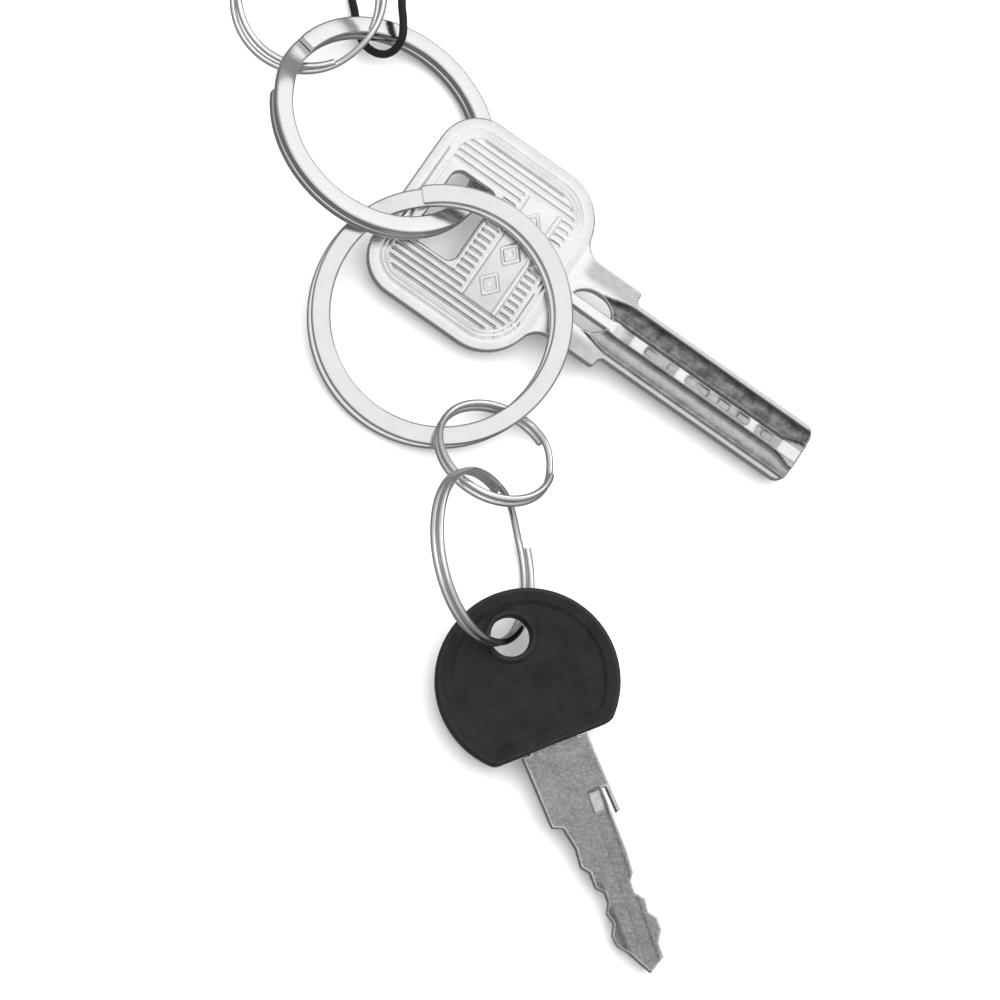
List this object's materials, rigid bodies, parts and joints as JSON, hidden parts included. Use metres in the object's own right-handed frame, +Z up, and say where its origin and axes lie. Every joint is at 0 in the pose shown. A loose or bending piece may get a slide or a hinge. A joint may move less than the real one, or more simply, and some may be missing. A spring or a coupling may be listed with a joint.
{
  "type": "split key ring",
  "caption": "Linked flat split key rings with small wire link rings, a stamped house key, a plastic-headed cam lock key and a knotted cord loop.",
  "frame": {"origin": "middle of the bounding box at the surface the bunch lies on, cord left out", "axes": "+Z up from that surface; +Y along the bunch, from the keys' tips towards the top wire ring; +X to the house key's side"},
  "size_m": [0.0687, 0.123, 0.0157],
  "materials": {
    "plated_steel": "nickel-plated spring steel, polished",
    "bright_wire": "bright drawn and plated wire",
    "key_nickel": "nickel-plated stamping, worn bright",
    "black_plastic": "moulded black plastic, satin",
    "blade_steel": "dull grey steel, slightly pitted",
    "black_cord": "black cord"
  },
  "bodies": {
    "upper_split_ring": {"upper_split_ring": "plated_steel", "cord_loop": "black_cord", "cord_knot": "black_cord"},
    "top_wire_ring": {"top_wire_ring": "bright_wire"},
    "house_key": {"house_key": "key_nickel"},
    "lower_split_ring": {"lower_split_ring": "plated_steel"},
    "upper_wire_ring": {"upper_wire_ring": "bright_wire"},
    "lower_wire_ring": {"lower_wire_ring": "bright_wire"},
    "cam_key": {"cam_key_head": "black_plastic", "cam_key_blade": "blade_steel"}
  },
  "joints": [
    {"name": "top_ring_swing", "type": "hinge", "parent": "upper_split_ring", "child": "top_wire_ring", "pos_m": [-0.024, 0.047, 0.0055], "axis": [-0.7792, -0.5441, 0.3111], "range_deg": [-60, 90]},
    {"name": "house_key_slide", "type": "hinge", "parent": "upper_split_ring", "child": "house_key", "pos_m": [-0.0166, 0.0363, 0.0054], "axis": [0.2569, 0.1749, 0.9505], "range_deg": [0, 80]},
    {"name": "lower_ring_slide", "type": "hinge", "parent": "upper_split_ring", "child": "lower_split_ring", "pos_m": [-0.0166, 0.0363, 0.0054], "axis": [-0.2569, -0.1749, -0.9505], "range_deg": [0, 90]},
    {"name": "upper_link_swing", "type": "hinge", "parent": "lower_split_ring", "child": "upper_wire_ring", "pos_m": [-0.0037, 0.0018, 0.0028], "axis": [0.8909, 0.413, 0.189], "range_deg": [-10, 34]},
    {"name": "lower_link_swing", "type": "hinge", "parent": "upper_wire_ring", "child": "lower_wire_ring", "pos_m": [-0.0053, -0.0075, 0.0072], "axis": [0.9373, -0.3441, -0.056], "range_deg": [-60, 55]},
    {"name": "cam_key_swing", "type": "hinge", "parent": "lower_wire_ring", "child": "cam_key", "pos_m": [-0.0018, -0.0234, 0.0048], "axis": [0.5732, 0.4961, -0.6522], "range_deg": [-90, 20]}
  ]
}
